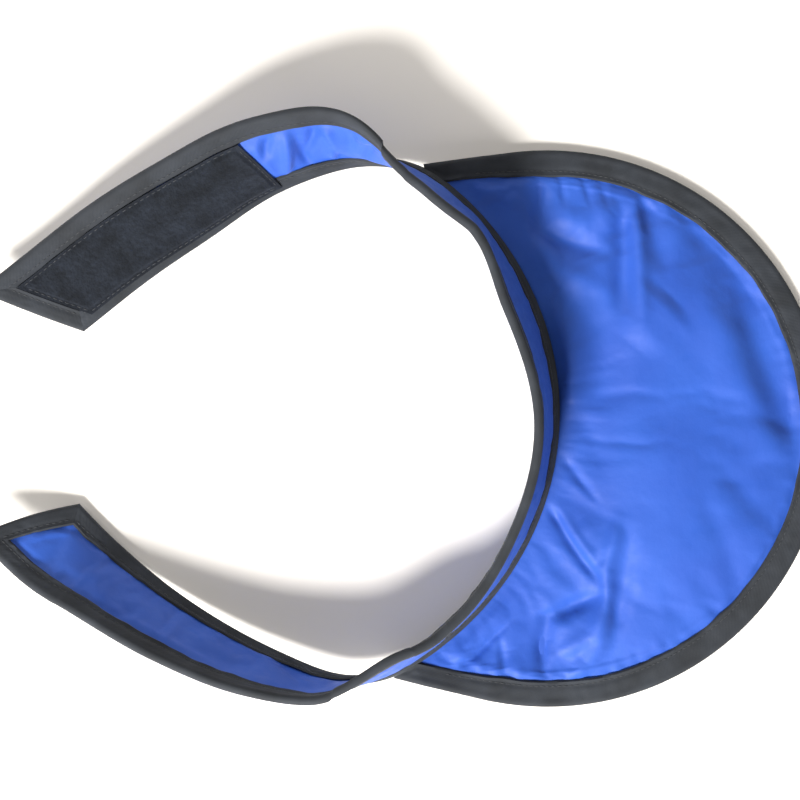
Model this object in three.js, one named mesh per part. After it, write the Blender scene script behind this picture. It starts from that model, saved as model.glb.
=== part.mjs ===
// A thyroid shield collar, as it lies open on a table with its outside up.
// The bib is a padded crescent that lies flat. The neckband is a padded strip sewn along the bib's neck edge.
// The band stands up there, leaning in, and its two free arms twist over until they lie beside the neck hole.
// Lengths are millimetres, angles are degrees. +Z is up and -Y is the side of the bib's hem.
import * as THREE from "three";

// Bib, laid flat
const NECK_SEAM_RADIUS = 122;
const NECK_SEAM_HALF_ANGLE = 57;
const BIB_DEPTH = 111;
const HEM_RADIUS = 116.4;
const HORN_WIDTH = 6.3;
const BIB_THICKNESS = 3.6;

// Neckband, measured flat
const BAND_WIDTH = 40;
const BAND_THICKNESS = 2.8;
const LOOP_ARM_LENGTH = 196;
const HOOK_ARM_LENGTH = 188;
const TIP_SLANT = 31;

// Binding tape, folded over every raw edge
const HEM_TAPE_WIDTH = 10.5;
const BAND_TAPE_WIDTH = 8;
const TAPE_THICKNESS = 1;
const RAW_EDGE_THICKNESS = 1.6;
const PADDING_SLOPE = 2.5;

// Fastener patches: soft loop pile on the inside of one arm, hooks on the outside of the other
const PATCH_WIDTH = 27.7;
const PATCH_THICKNESS = 1.5;
const PATCH_FROM_LOWER_EDGE = 4;
const PATCH_FROM_TIP = 8.6;
const LOOP_PATCH_LENGTH = 104;
const HOOK_PATCH_LENGTH = 50;
const PATCH_END_SLANT = 15;

// Room left between two pieces that are sewn together, and round a raw edge inside its folded tape
const SEWN_GAP = 0.3;
const FOLD_ROOM = 0.4;

// Height of the band's lowest fold over the table that the bib lies on
const BAND_CLEARANCE = 0.1;

// Section of the folded tape: half its thickness, and how its fold is rounded
const HALF_TAPE = RAW_EDGE_THICKNESS / 2 + FOLD_ROOM + TAPE_THICKNESS;
const INNER_HALF = HALF_TAPE - TAPE_THICKNESS;
const FOLD_ROUND = HALF_TAPE * 0.6;
const FOLD_HALF_FLAT = HALF_TAPE * 0.45;
const INNER_HALF_FLAT = INNER_HALF * 0.4;
const RAW_EDGE_INSET = TAPE_THICKNESS + FOLD_ROOM;
const SEAM_ANGLE = THREE.MathUtils.degToRad(NECK_SEAM_HALF_ANGLE);
const SLANT = THREE.MathUtils.degToRad(TIP_SLANT);
const END_SLANT = THREE.MathUtils.degToRad(PATCH_END_SLANT);
const HEM_CENTRE_Y = HEM_RADIUS - NECK_SEAM_RADIUS - BIB_DEPTH;

// How the neckband stands, a row for each section along its lower edge.
// at: -2 hook arm's tip, -1 hook horn, 0 middle of the neck seam, 1 loop horn, 2 loop arm's tip
// turn: how far the arm has turned in since its horn, in degrees
// lean: outward lean of the band from upright, in degrees, so 90 lies flat with its inside up
// lift: height of the lower edge over the table, as a share of the band's width
// bow: bulge of the middle of the band towards its inside, as a share of the band's width
const BAND_SECTIONS = [
  { at: -2, turn: 68, lean: 66, lift: 0.03, bow: 0 },
  { at: -1.86, turn: 77, lean: 63, lift: 0.02, bow: 0 },
  { at: -1.72, turn: 72, lean: 44, lift: 0.03, bow: 0.02 },
  { at: -1.54, turn: 64, lean: 31, lift: 0.08, bow: 0.03 },
  { at: -1.34, turn: 55, lean: 19, lift: 0.13, bow: 0.02 },
  { at: -1.2, turn: 47, lean: 6, lift: 0.17, bow: -0.04 },
  { at: -1.1, turn: 22, lean: -11, lift: 0.19, bow: -0.1 },
  { at: -1.04, turn: 9, lean: -18, lift: 0.18, bow: -0.07 },
  { at: -1, turn: 0, lean: -14, lift: 0.15, bow: -0.03 },
  { at: -0.8, turn: 0, lean: -11, lift: 0.06, bow: 0 },
  { at: -0.4, turn: 0, lean: -15, lift: 0, bow: 0 },
  { at: 0, turn: 0, lean: -16, lift: 0, bow: 0 },
  { at: 0.5, turn: 0, lean: -22, lift: 0, bow: 0.02 },
  { at: 0.8, turn: 0, lean: -13, lift: 0.05, bow: 0.07 },
  { at: 1, turn: 0, lean: -16, lift: 0.11, bow: 0.1 },
  { at: 1.05, turn: 14, lean: -11, lift: 0.13, bow: 0.09 },
  { at: 1.13, turn: 34, lean: 4, lift: 0.14, bow: 0.05 },
  { at: 1.22, turn: 51, lean: 27, lift: 0.14, bow: 0.03 },
  { at: 1.34, turn: 61, lean: 40, lift: 0.12, bow: 0.03 },
  { at: 1.45, turn: 72, lean: 51, lift: 0.1, bow: 0.03 },
  { at: 1.6, turn: 70, lean: 61, lift: 0.06, bow: 0.02 },
  { at: 1.8, turn: 75, lean: 69, lift: 0.02, bow: 0 },
  { at: 2, turn: 71, lean: 68, lift: 0, bow: 0 },
];

// Folds in the bib's outside, a row for each ridge (height above 0) or dent (height below 0).
// from and to are its ends: the first number runs -1 hook horn to 1 loop horn, the second 0 neck seam to 1 hem.
// wide is a share of the bib's depth, and high is a share of its thickness.
const BIB_FOLDS = [
  { fold: "dent beside the tall ridge", from: [0.52, 0.6], to: [0.34, 0.42], wide: 0.07, high: -0.35 },
  { fold: "tall ridge", from: [0.62, 0.72], to: [0.28, 0.5], wide: 0.06, high: 0.5 },
  { fold: "swell under the tall ridge", from: [0.3, 0.4], to: [0.1, 0.5], wide: 0.16, high: 0.45 },
  { fold: "curved dent by the loop horn", from: [0.86, 0.55], to: [0.5, 0.28], wide: 0.09, high: -0.35 },
  { fold: "dent near the hem's middle", from: [0.2, 0.8], to: [-0.06, 0.86], wide: 0.12, high: -0.4 },
  { fold: "crease off the neck seam", from: [-0.34, 0.03], to: [-0.5, 0.3], wide: 0.05, high: -0.4 },
  { fold: "ridge beside that crease", from: [-0.4, 0.03], to: [-0.58, 0.26], wide: 0.06, high: 0.4 },
  { fold: "hollow of the hooked fold", from: [-0.62, 0.3], to: [-0.76, 0.52], wide: 0.1, high: -0.4 },
  { fold: "ridge down to the hem", from: [-0.46, 0.36], to: [-0.74, 0.74], wide: 0.07, high: 0.45 },
  { fold: "swell along the middle", from: [0.1, 0.4], to: [-0.4, 0.6], wide: 0.25, high: 0.35 },
];

// A smooth curve through one column of the band's sections.
const sectionSpots = BAND_SECTIONS.map((row) => row.at);
function bandColumn(name) {
  const values = BAND_SECTIONS.map((row) => row[name]);
  const curve = new THREE.CubicInterpolant(sectionSpots, values, 1);
  return (at) => curve.evaluate(at)[0];
}
const turnAt = bandColumn("turn");
const leanAt = bandColumn("lean");
const liftCurve = bandColumn("lift");
const liftAt = (at) => Math.max(liftCurve(at), 0);
const bowAt = bandColumn("bow");

// The band's lower edge stands inside the bib's neck edge. Its inward lean leaves the sewn gap between them.
const EDGE_RADIUS = NECK_SEAM_RADIUS - HALF_TAPE;
const SEAM_HALF_LENGTH = EDGE_RADIUS * SEAM_ANGLE;
const armLength = (side) => (side > 0 ? LOOP_ARM_LENGTH : HOOK_ARM_LENGTH);

// Position along the sections for a distance s from the middle of the seam, measured on the lower edge.
function spotAt(s) {
  const past = Math.abs(s) - SEAM_HALF_LENGTH;
  return past <= 0 ? s / SEAM_HALF_LENGTH : Math.sign(s) * (1 + past / armLength(s));
}

// Plan of one arm's lower edge: it leaves the horn along the seam and turns in by the table, a step at a time.
const PLAN_STEP = 1;
function armPlan(side) {
  const x = EDGE_RADIUS * Math.sin(SEAM_ANGLE);
  const y = -EDGE_RADIUS * Math.cos(SEAM_ANGLE);
  const points = [new THREE.Vector2(x, y)];
  const steps = Math.ceil(armLength(side) / PLAN_STEP) + 1;
  for (let i = 0; i < steps; i++) {
    const at = side * (1 + ((i + 0.5) * PLAN_STEP) / armLength(side));
    const heading = SEAM_ANGLE + THREE.MathUtils.degToRad(turnAt(at));
    const step = new THREE.Vector2(Math.cos(heading), Math.sin(heading)).multiplyScalar(PLAN_STEP);
    points.push(points[i].clone().add(step));
  }
  return points;
}
const plans = new Map([1, -1].map((side) => [side, armPlan(side)]));

// Plan point and heading of the lower edge at s.
function lowerEdgePlan(s) {
  const side = Math.sign(s) || 1;
  const past = Math.abs(s) - SEAM_HALF_LENGTH;
  if (past <= 0) {
    const angle = s / EDGE_RADIUS;
    return { x: EDGE_RADIUS * Math.sin(angle), y: -EDGE_RADIUS * Math.cos(angle), heading: angle };
  }
  const points = plans.get(side);
  const i = Math.min(Math.floor(past / PLAN_STEP), points.length - 2);
  const p = points[i].clone().lerp(points[i + 1], past / PLAN_STEP - i);
  const turn = THREE.MathUtils.degToRad(turnAt(spotAt(s)));
  return { x: side * p.x, y: p.y, heading: side * (SEAM_ANGLE + turn) };
}

// Height of the lower edge, with the fold of its tape just clear of the table where lift is 0.
function lowerEdgeHeight(s) {
  const at = spotAt(s);
  const lean = THREE.MathUtils.degToRad(leanAt(at));
  const sine = Math.abs(Math.sin(lean));
  const below = Math.max(FOLD_HALF_FLAT * sine, HALF_TAPE * sine - FOLD_ROUND * Math.cos(lean));
  return liftAt(at) * BAND_WIDTH + below + BAND_CLEARANCE;
}

// A point of the band: s along it, t up from its lower edge, n off its middle surface towards its inside.
function bandPoint(s, t, n) {
  const plan = lowerEdgePlan(s);
  const climb = (lowerEdgeHeight(s + PLAN_STEP) - lowerEdgeHeight(s - PLAN_STEP)) / (2 * PLAN_STEP);
  const along = new THREE.Vector3(Math.cos(plan.heading), Math.sin(plan.heading), climb).normalize();
  const out = new THREE.Vector3(Math.sin(plan.heading), -Math.cos(plan.heading), 0);
  const up = new THREE.Vector3().crossVectors(out, along);
  const at = spotAt(s);
  const lean = THREE.MathUtils.degToRad(leanAt(at));
  const across = up.clone().multiplyScalar(Math.cos(lean)).addScaledVector(out, Math.sin(lean));
  const inside = up.multiplyScalar(Math.sin(lean)).addScaledVector(out, -Math.cos(lean));
  // A bowed section keeps its width round the curve, so its straight width is a little less.
  const bow = bowAt(at);
  const share = t / BAND_WIDTH;
  const chord = 1 - (8 / 3) * bow * bow;
  const slope = 4 * bow * (1 - 2 * share);
  const normal = inside.clone().addScaledVector(across, -slope).normalize();
  return new THREE.Vector3(plan.x, plan.y, lowerEdgeHeight(s))
    .addScaledVector(across, t * chord)
    .addScaledVector(inside, 4 * bow * BAND_WIDTH * share * (1 - share))
    .addScaledVector(normal, n);
}

// A closed solid from a sheet with two faces. point(i, j, face) gives a corner of the grid on face 0 or 1.
// Where crossed(j) is true the quads of column j are split along their other diagonal.
function sheetSolid(name, material, rows, columns, point, crossed = () => false) {
  const positions = [];
  for (let face = 0; face < 2; face++)
    for (let i = 0; i <= rows; i++)
      for (let j = 0; j <= columns; j++) positions.push(...point(i, j, face).toArray());
  const index = (i, j, face) => (face * (rows + 1) + i) * (columns + 1) + j;
  const triangles = [];
  const quad = (a, b, c, d) => triangles.push(a, b, c, a, c, d);
  for (let i = 0; i < rows; i++)
    for (let j = 0; j < columns; j++) {
      const near = [index(i, j, 0), index(i + 1, j, 0), index(i + 1, j + 1, 0), index(i, j + 1, 0)];
      const far = [index(i, j, 1), index(i, j + 1, 1), index(i + 1, j + 1, 1), index(i + 1, j, 1)];
      if (crossed(j)) [near, far].forEach((corners) => corners.push(corners.shift()));
      quad(...near);
      quad(...far);
    }
  for (let i = 0; i < rows; i++) {
    quad(index(i, 0, 0), index(i, 0, 1), index(i + 1, 0, 1), index(i + 1, 0, 0));
    quad(index(i, columns, 0), index(i + 1, columns, 0), index(i + 1, columns, 1), index(i, columns, 1));
  }
  for (let j = 0; j < columns; j++) {
    quad(index(0, j, 0), index(0, j + 1, 0), index(0, j + 1, 1), index(0, j, 1));
    quad(index(rows, j, 0), index(rows, j, 1), index(rows, j + 1, 1), index(rows, j + 1, 0));
  }
  const geometry = new THREE.BufferGeometry();
  geometry.setAttribute("position", new THREE.Float32BufferAttribute(positions, 3));
  geometry.setIndex(signedVolume(positions, triangles) < 0 ? triangles.reverse() : triangles);
  geometry.computeVertexNormals();
  const mesh = new THREE.Mesh(geometry, material);
  mesh.name = name;
  return mesh;
}

function signedVolume(positions, triangles) {
  const corner = (k) => new THREE.Vector3().fromArray(positions, 3 * triangles[k]);
  let volume = 0;
  for (let k = 0; k < triangles.length; k += 3)
    volume += corner(k).dot(corner(k + 1).cross(corner(k + 2))) / 6;
  return volume;
}

// Folded tape: depth in from its fold and offset off the middle surface, on its outer and inner faces.
const TAPE_SECTION = [
  { outer: [1, HALF_TAPE], inner: [1, INNER_HALF] },
  { outer: [0, HALF_TAPE], inner: [0, INNER_HALF] },
  { outer: [-1, FOLD_HALF_FLAT], inner: [0, INNER_HALF_FLAT] },
  { outer: [-1, -FOLD_HALF_FLAT], inner: [0, -INNER_HALF_FLAT] },
  { outer: [0, -HALF_TAPE], inner: [0, -INNER_HALF] },
  { outer: [1, -HALF_TAPE], inner: [1, -INNER_HALF] },
];
// In the first number 1 is the rim of the tape, 0 the start of its fold and -1 the fold itself.
function tapePoint(j, face, rim) {
  const [place, offset] = face ? TAPE_SECTION[j].inner : TAPE_SECTION[j].outer;
  const start = face ? TAPE_THICKNESS : FOLD_ROUND;
  return { depth: place > 0 ? rim : place < 0 ? 0 : start, offset };
}

// Share of the padding that a panel has at a distance in from the rim of its tape: none under the tape.
function paddingShare(fromRim) {
  return THREE.MathUtils.clamp((fromRim - SEWN_GAP) / PADDING_SLOPE, 0, 1);
}

// Hem line of the bib: an arc, and a straight run at each end that leaves it smoothly for the blunt horn.
// h runs from -1 to 1. The returned out points away from the bib.
const hornFromCentre = new THREE.Vector2(
  NECK_SEAM_RADIUS * Math.sin(SEAM_ANGLE) + HORN_WIDTH,
  -NECK_SEAM_RADIUS * Math.cos(SEAM_ANGLE) - HEM_CENTRE_Y,
);
const hornReach = Math.max(hornFromCentre.length(), HEM_RADIUS);
const HORN_BEARING = Math.atan2(hornFromCentre.x, -hornFromCentre.y);
const HEM_ARC = HORN_BEARING - Math.acos(HEM_RADIUS / hornReach);
const HEM_STRAIGHT_RUN = Math.sqrt(hornReach ** 2 - HEM_RADIUS ** 2);
const HEM_HALF_LENGTH = HEM_RADIUS * HEM_ARC + HEM_STRAIGHT_RUN;
const hemArcEnd = new THREE.Vector2(
  HEM_RADIUS * Math.sin(HEM_ARC),
  HEM_CENTRE_Y - HEM_RADIUS * Math.cos(HEM_ARC),
);
const hemRunWay = new THREE.Vector2(Math.cos(HEM_ARC), Math.sin(HEM_ARC));
function hemLine(h) {
  const side = Math.sign(h) || 1;
  const length = Math.abs(h) * HEM_HALF_LENGTH;
  const angle = Math.min(length / HEM_RADIUS, HEM_ARC);
  const run = Math.max(length - HEM_RADIUS * HEM_ARC, 0);
  const x = HEM_RADIUS * Math.sin(angle) + run * hemRunWay.x;
  const y = HEM_CENTRE_Y - HEM_RADIUS * Math.cos(angle) + run * hemRunWay.y;
  return {
    point: new THREE.Vector2(side * x, y),
    out: new THREE.Vector2(side * Math.sin(angle), -Math.cos(angle)),
  };
}

// Distance of a plan point in from the hem line.
function fromHem(p) {
  const q = new THREE.Vector2(Math.abs(p.x), p.y);
  const angle = Math.atan2(q.x, HEM_CENTRE_Y - q.y);
  if (angle < HEM_ARC) return HEM_RADIUS - Math.hypot(q.x, q.y - HEM_CENTRE_Y);
  return Math.abs(q.sub(hemArcEnd).cross(hemRunWay));
}

// Plan point of the bib at a share along it and a share of the way from neck seam to raw hem edge.
function bibPlan(along, deep) {
  const angle = along * SEAM_ANGLE;
  const seam = new THREE.Vector2(Math.sin(angle), -Math.cos(angle)).multiplyScalar(NECK_SEAM_RADIUS);
  const hem = hemLine(along);
  const edge = hem.point.addScaledVector(hem.out, -RAW_EDGE_INSET);
  return seam.lerp(edge, deep);
}

// Height of the bib's middle surface: on the table, and raised with the neck seam towards the horns.
const LIFT_REACH = 0.55 * BIB_DEPTH;
function bibLift(p) {
  const along = THREE.MathUtils.clamp(Math.atan2(p.x, -p.y) / SEAM_ANGLE, -1, 1);
  const fromSeam = Math.max(Math.hypot(p.x, p.y) - NECK_SEAM_RADIUS, 0);
  const fade = 1 - THREE.MathUtils.smoothstep(fromSeam, 0, LIFT_REACH);
  return Math.max(liftAt(along), 0) * BAND_WIDTH * fade;
}

// Height that the folds add to the bib's outside. They die out at the tape and at the neck seam.
function foldHeight(p) {
  let height = 0;
  for (const row of BIB_FOLDS) {
    const start = bibPlan(...row.from);
    const way = bibPlan(...row.to).sub(start);
    const share = THREE.MathUtils.clamp(p.clone().sub(start).dot(way) / way.lengthSq(), 0, 1);
    const off = p.distanceTo(start.addScaledVector(way, share)) / (row.wide * BIB_DEPTH);
    height += row.high * BIB_THICKNESS * Math.exp(-off * off);
  }
  const room = Math.min(fromHem(p) - HEM_TAPE_WIDTH, Math.hypot(p.x, p.y) - NECK_SEAM_RADIUS);
  return height * THREE.MathUtils.smoothstep(room, 0, 2 * HEM_TAPE_WIDTH);
}

const fabricBlue = new THREE.MeshStandardMaterial({ color: 0x3f63c8, roughness: 0.45, metalness: 0 });
const tapeBlack = new THREE.MeshStandardMaterial({ color: 0x33363c, roughness: 0.7, metalness: 0 });
const pileBlack = new THREE.MeshStandardMaterial({ color: 0x24272e, roughness: 0.95, metalness: 0 });

// Bib panel: raw edge inside the hem tape, padding at full thickness inward of it
const BIB_ROWS = 52;
const BIB_COLUMNS = 13;
const HEM_COLUMNS = 2;
function bibPanel() {
  return sheetSolid("bib_panel", fabricBlue, BIB_ROWS, BIB_COLUMNS, (i, j, face) => {
    const along = (2 * i) / BIB_ROWS - 1;
    const seam = bibPlan(along, 0);
    const edge = bibPlan(along, 1);
    const length = seam.distanceTo(edge);
    const square = edge.clone().sub(seam).normalize().dot(hemLine(along).out);
    // The last columns stand at the tape's rim and at the foot of the padding's slope.
    const rim = (HEM_TAPE_WIDTH + SEWN_GAP - RAW_EDGE_INSET) / square;
    const foot = rim + PADDING_SLOPE / square;
    const inner = BIB_COLUMNS - HEM_COLUMNS;
    const full = Math.max(length - foot, 0);
    const reach = j <= inner ? (full * j) / inner : j === inner + 1 ? Math.max(length - rim, 0) : length;
    const p = seam.lerp(edge, reach / length);
    // Its underside lies on the table, and rises to the middle of the tape's fold.
    const share = paddingShare(fromHem(p) - HEM_TAPE_WIDTH);
    const under = THREE.MathUtils.lerp(HALF_TAPE - RAW_EDGE_THICKNESS / 2, 0, share) + bibLift(p);
    const thickness = THREE.MathUtils.lerp(RAW_EDGE_THICKNESS, BIB_THICKNESS, share);
    return new THREE.Vector3(p.x, p.y, face ? under : under + thickness + foldHeight(p));
  });
}

// Hem tape: folded over the bib's outer edge from horn to horn
const HEM_ROWS = 64;
function hemTape() {
  return sheetSolid("hem_binding", tapeBlack, HEM_ROWS, TAPE_SECTION.length - 1, (i, j, face) => {
    const { point, out } = hemLine((2 * i) / HEM_ROWS - 1);
    // Near the horns the tape's rim stops at the neck seam.
    const halfChord = Math.sqrt(Math.max(NECK_SEAM_RADIUS ** 2 - point.cross(out) ** 2, 0));
    const toNeck = point.dot(out) - halfChord;
    const { depth, offset } = tapePoint(j, face, Math.min(HEM_TAPE_WIDTH, toNeck));
    const p = point.clone().addScaledVector(out, -depth);
    return new THREE.Vector3(p.x, p.y, HALF_TAPE + bibLift(p) + offset);
  });
}

// Rows of the band's mesh over its sections, closer together where it twists beside the horns
const BAND_SPANS = [
  { from: -2, to: -1.36, rows: 15 },
  { from: -1.36, to: -0.85, rows: 17 },
  { from: -0.85, to: 0.85, rows: 18 },
  { from: 0.85, to: 1.36, rows: 17 },
  { from: 1.36, to: 2, rows: 15 },
];
const bandSpots = [BAND_SPANS[0].from];
for (const span of BAND_SPANS)
  for (let i = 1; i <= span.rows; i++)
    bandSpots.push(THREE.MathUtils.lerp(span.from, span.to, i / span.rows));
const BAND_ROWS = bandSpots.length - 1;

// Distance s for a section at a depth where the arm is reach long. Only the outer part of an arm stretches to it.
function bandDistance(at, reachOf) {
  const side = Math.sign(at);
  const share = Math.abs(at) - 1;
  if (share <= 0) return at * SEAM_HALF_LENGTH;
  const change = reachOf(armLength(side)) - armLength(side);
  return side * (SEAM_HALF_LENGTH + share * armLength(side) + share ** 5 * change);
}

// Length of an arm at height t, along its slanted tip
const slantedReach = (length, t) => length - (BAND_WIDTH - t) * Math.tan(SLANT);

// Neckband panel: raw edges inside the tapes, padding between them
function bandHeights() {
  const raw = RAW_EDGE_INSET;
  const rim = BAND_TAPE_WIDTH + SEWN_GAP;
  const foot = rim + PADDING_SLOPE;
  const top = BAND_WIDTH;
  return [raw, rim, foot, top / 2, top - foot, top - rim, top - raw];
}
function bandPanel() {
  const heights = bandHeights();
  return sheetSolid("neckband_panel", fabricBlue, BAND_ROWS, heights.length - 1, (i, j, face) => {
    const t = heights[j];
    const inset = RAW_EDGE_INSET / Math.cos(SLANT);
    const s = bandDistance(bandSpots[i], (length) => slantedReach(length, t) - inset);
    const half = THREE.MathUtils.lerp(RAW_EDGE_THICKNESS, BAND_THICKNESS, paddingShare(fromBandRim(s, t))) / 2;
    return bandPoint(s, t, face ? -half : half);
  });
}

// Distance of a point of the band in from the nearest rim of its tapes
function fromBandRim(s, t) {
  const past = Math.abs(s) - SEAM_HALF_LENGTH;
  const fromTip = (slantedReach(armLength(s), t) - past) * Math.cos(SLANT);
  return Math.min(t, BAND_WIDTH - t, fromTip) - BAND_TAPE_WIDTH;
}

// Edge tapes of the band, mitred at the tips. corner is the angle of the band's corner at that edge.
function edgeTape(name, fold, inward, corner) {
  const mitre = 1 / Math.tan(corner / 2);
  return sheetSolid(name, tapeBlack, BAND_ROWS, TAPE_SECTION.length - 1, (i, j, face) => {
    const { depth, offset } = tapePoint(j, face, BAND_TAPE_WIDTH);
    const trim = depth * mitre + SEWN_GAP / 2 / Math.sin(corner / 2);
    const s = bandDistance(bandSpots[i], (length) => slantedReach(length, fold) - trim);
    return bandPoint(s, fold + inward * depth, offset);
  }, (j) => (j < 2) === (inward > 0));
}

// Tape across a slanted tip, mitred at both ends
const TIP_ROWS = 9;
function tipTape(name, side) {
  const lowerMitre = 1 / Math.tan((Math.PI / 2 + SLANT) / 2);
  const upperMitre = 1 / Math.tan((Math.PI / 2 - SLANT) / 2);
  const lowerTrim = SEWN_GAP / 2 / Math.sin((Math.PI / 2 + SLANT) / 2);
  const upperTrim = SEWN_GAP / 2 / Math.sin((Math.PI / 2 - SLANT) / 2);
  const edge = BAND_WIDTH / Math.cos(SLANT);
  return sheetSolid(name, tapeBlack, TIP_ROWS, TAPE_SECTION.length - 1, (i, j, face) => {
    const { depth, offset } = tapePoint(j, face, BAND_TAPE_WIDTH);
    const start = depth * lowerMitre + lowerTrim;
    const end = edge - depth * upperMitre - upperTrim;
    const q = start + ((end - start) * i) / TIP_ROWS;
    const t = q * Math.cos(SLANT) + depth * Math.sin(SLANT);
    const past = slantedReach(armLength(side), 0) + q * Math.sin(SLANT) - depth * Math.cos(SLANT);
    return bandPoint(side * (SEAM_HALF_LENGTH + past), t, offset);
  });
}

// Fastener patch: one end along the tip's slant. It steps up where it laps the tape of the lower edge.
// facing is 1 on the band's inside and -1 on its outside.
const PATCH_ROWS = 16;
function patch(name, side, facing, length) {
  const top = PATCH_FROM_LOWER_EDGE + PATCH_WIDTH;
  const rim = BAND_TAPE_WIDTH + SEWN_GAP;
  const heights = [PATCH_FROM_LOWER_EDGE, rim, rim + PADDING_SLOPE, (rim + top) / 2, top];
  const tip = slantedReach(armLength(side), top) - PATCH_FROM_TIP / Math.cos(SLANT);
  return sheetSolid(name, pileBlack, PATCH_ROWS, heights.length - 1, (i, j, face) => {
    const t = heights[j];
    const start = tip - (top - t) * Math.tan(SLANT);
    const end = tip - length - (top - t) * Math.tan(END_SLANT);
    const s = side * (SEAM_HALF_LENGTH + THREE.MathUtils.lerp(start, end, i / PATCH_ROWS));
    const share = paddingShare(fromBandRim(s, t));
    const under = THREE.MathUtils.lerp(HALF_TAPE, BAND_THICKNESS / 2, share) + SEWN_GAP;
    return bandPoint(s, t, facing * (face ? under : under + PATCH_THICKNESS));
  });
}

// The whole collar, set down with the middle of its outline over the origin and its lowest point at Z 0
const collar = new THREE.Group();
collar.add(
  bibPanel(),
  hemTape(),
  bandPanel(),
  edgeTape("neck_seam_binding", 0, 1, Math.PI / 2 + SLANT),
  edgeTape("top_edge_binding", BAND_WIDTH, -1, Math.PI / 2 - SLANT),
  tipTape("loop_tip_binding", 1),
  tipTape("hook_tip_binding", -1),
  patch("loop_patch", 1, 1, LOOP_PATCH_LENGTH),
  patch("hook_patch", -1, -1, HOOK_PATCH_LENGTH),
);
const outline = new THREE.Box3().setFromObject(collar, true);
const middle = outline.getCenter(new THREE.Vector3());
collar.position.set(-middle.x, -middle.y, -outline.min.z);
collar.updateMatrixWorld(true);

export default collar;
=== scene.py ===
# %% [markdown]
# # A thyroid shield collar, open on a table
# The collar is a padded crescent bib with a padded neckband sewn along its inner edge. The bib lies flat. The
# neckband stands on the seam, and its two free arms twist over and lie beside the neck hole. Both panels are
# coated nylon over soft lead rubber, and every edge is bound with a folded black tape.
#
# Each panel and tape is cut flat, so each is drawn here as a flat grid, in the coordinates of its own cut, and
# one formula then carries the grid to the shape that the cloth takes. The alternative, pushing vertices about in
# space, would stretch the cloth. The formulas are those of the CAD model, so every piece lands where its node is.

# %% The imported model
import math

import bmesh
import bpy
import numpy as np
from mathutils import Matrix, Vector


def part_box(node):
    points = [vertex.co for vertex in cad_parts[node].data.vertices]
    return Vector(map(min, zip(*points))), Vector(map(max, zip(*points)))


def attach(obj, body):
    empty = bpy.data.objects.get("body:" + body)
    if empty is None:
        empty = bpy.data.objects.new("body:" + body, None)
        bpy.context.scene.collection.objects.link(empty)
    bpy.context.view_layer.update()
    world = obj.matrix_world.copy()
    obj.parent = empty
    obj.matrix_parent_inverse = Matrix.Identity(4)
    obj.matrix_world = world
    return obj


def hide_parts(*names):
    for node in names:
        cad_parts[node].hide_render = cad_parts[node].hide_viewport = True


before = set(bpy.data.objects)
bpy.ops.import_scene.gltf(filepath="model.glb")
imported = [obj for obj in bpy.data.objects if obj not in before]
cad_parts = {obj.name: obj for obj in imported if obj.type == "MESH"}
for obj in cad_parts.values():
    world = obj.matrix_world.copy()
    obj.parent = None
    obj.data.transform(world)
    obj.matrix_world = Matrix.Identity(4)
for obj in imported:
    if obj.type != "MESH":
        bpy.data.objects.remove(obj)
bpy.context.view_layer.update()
print("CAD nodes:", sorted(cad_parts))

# %% [markdown]
# ## Sizes
# The sizes are in millimetres, as a pattern cutter would write them. They become metres in one place, when a
# mesh is filled. The hem tape's box tells where the middle of the neck circle is in the shared frame.

# %% Sizes of the cut pieces
MM = 0.001
SEAM_RADIUS = 122.0
SEAM_ANGLE = math.radians(57)
BIB_DEPTH = 111.0
HEM_RADIUS = 116.4
HORN_WIDTH = 6.3
BAND_WIDTH = 40.0
ARM_LENGTH = {1: 196.0, -1: 188.0}
TIP_SLANT = math.radians(31)
HEM_TAPE = 10.5
BAND_TAPE = 8.0
HALF_TAPE = 2.2
RAW_INSET = 1.4
EDGE_RADIUS = SEAM_RADIUS - HALF_TAPE
SEAM_HALF = EDGE_RADIUS * SEAM_ANGLE
HEM_CENTRE_Y = HEM_RADIUS - SEAM_RADIUS - BIB_DEPTH

hem_low, hem_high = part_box("hem_binding")
MIDDLE = np.array([(hem_low[0] + hem_high[0]) / 2, hem_low[1] + (SEAM_RADIUS + BIB_DEPTH) * MM, 0.0])
print("neck circle's middle:", MIDDLE.round(5))

# %% [markdown]
# ## How the neckband stands
# A row of this table is one section of the band along its lower edge: how far the arm has turned in, how far it
# leans out, how high its lower edge is lifted and how much it bulges. A smooth curve runs through each column.

# %% Sections of the neckband
BAND_COLUMNS = ("at", "turn", "lean", "lift", "bow")
BAND_SECTIONS = np.array([
    (-2, 68, 66, 0.03, 0),
    (-1.86, 77, 63, 0.02, 0),
    (-1.72, 72, 44, 0.03, 0.02),
    (-1.54, 64, 31, 0.08, 0.03),
    (-1.34, 55, 19, 0.13, 0.02),
    (-1.2, 47, 6, 0.17, -0.02),
    (-1.1, 22, -12, 0.19, -0.01),
    (-1.04, 9, -17, 0.18, 0.01),
    (-1, 0, -14, 0.15, 0.04),
    (-0.8, 0, -12, 0.06, 0.07),
    (-0.4, 0, -15, 0, 0.06),
    (0, 0, -16, 0, 0.05),
    (0.5, 0, -22, 0, 0.05),
    (0.8, 0, -14, 0.05, 0.06),
    (1, 0, -17, 0.11, 0.05),
    (1.05, 14, -13, 0.09, 0.05),
    (1.13, 34, 4, 0.05, 0.04),
    (1.22, 51, 27, 0.04, 0.03),
    (1.34, 61, 40, 0.05, 0.03),
    (1.45, 72, 51, 0.06, 0.03),
    (1.6, 70, 61, 0.06, 0.02),
    (1.8, 75, 69, 0.02, 0),
    (2, 71, 68, 0, 0),
])


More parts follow.
